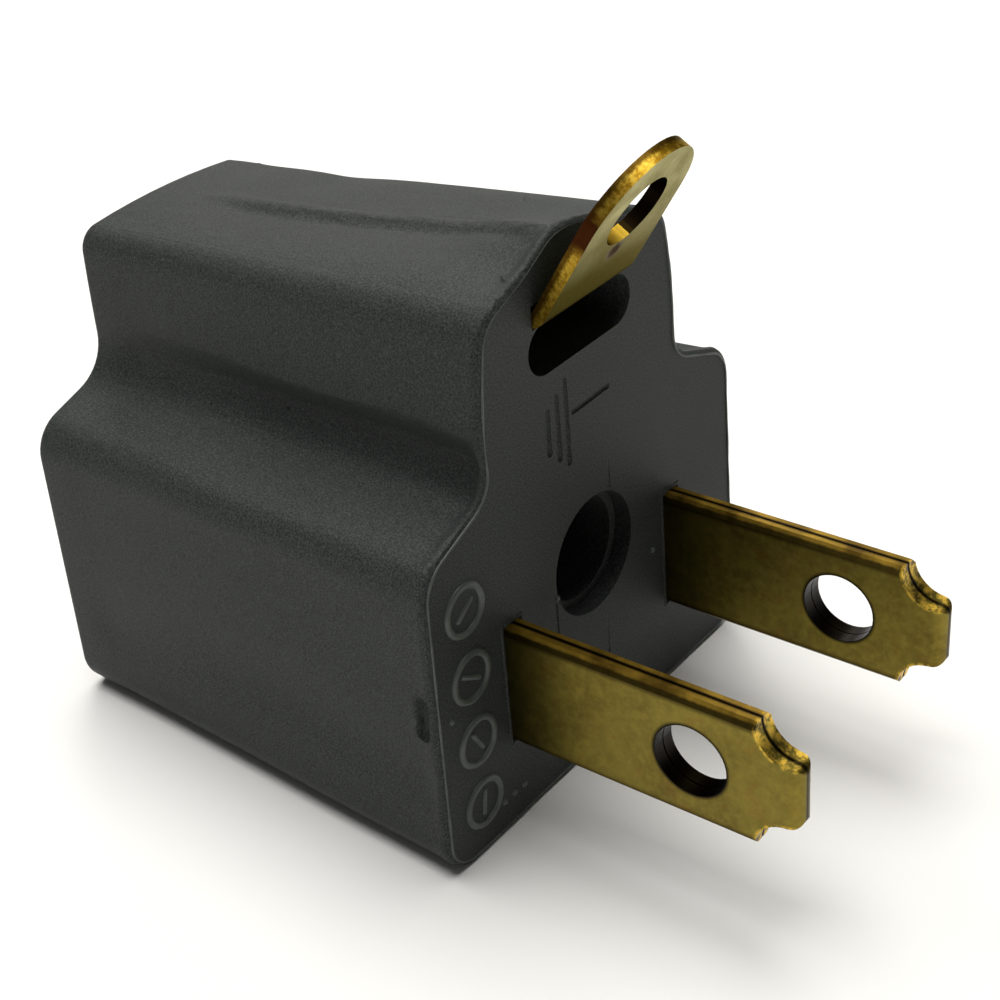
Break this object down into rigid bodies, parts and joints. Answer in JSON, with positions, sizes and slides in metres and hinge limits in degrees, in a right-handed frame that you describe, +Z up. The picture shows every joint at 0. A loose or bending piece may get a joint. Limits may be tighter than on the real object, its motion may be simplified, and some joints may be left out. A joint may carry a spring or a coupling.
{
  "type": "grounding plug adapter",
  "caption": "Waisted moulded adapter that lets a three-prong plug fit a two-slot outlet, with folded brass blades in front, an outlet face behind and a bent ground ring tab.",
  "frame": {"origin": "middle of the blade face, half way between the two blades", "axes": "+Z up towards the earth side, +X across the blades, -Y the way the blades point"},
  "size_m": [0.0242, 0.0401, 0.0314],
  "materials": {
    "housing": "satin moulded vinyl",
    "outlet_plate": "matte moulded",
    "blade_brass": "tarnished stamped",
    "tab_brass": "lightly tarnished stamped"
  },
  "bodies": {
    "root": {"body": "housing", "rear_cover": "outlet_plate", "line_contact": "blade_brass", "neutral_contact": "blade_brass", "ground_contact": "tab_brass"}
  },
  "joints": []
}
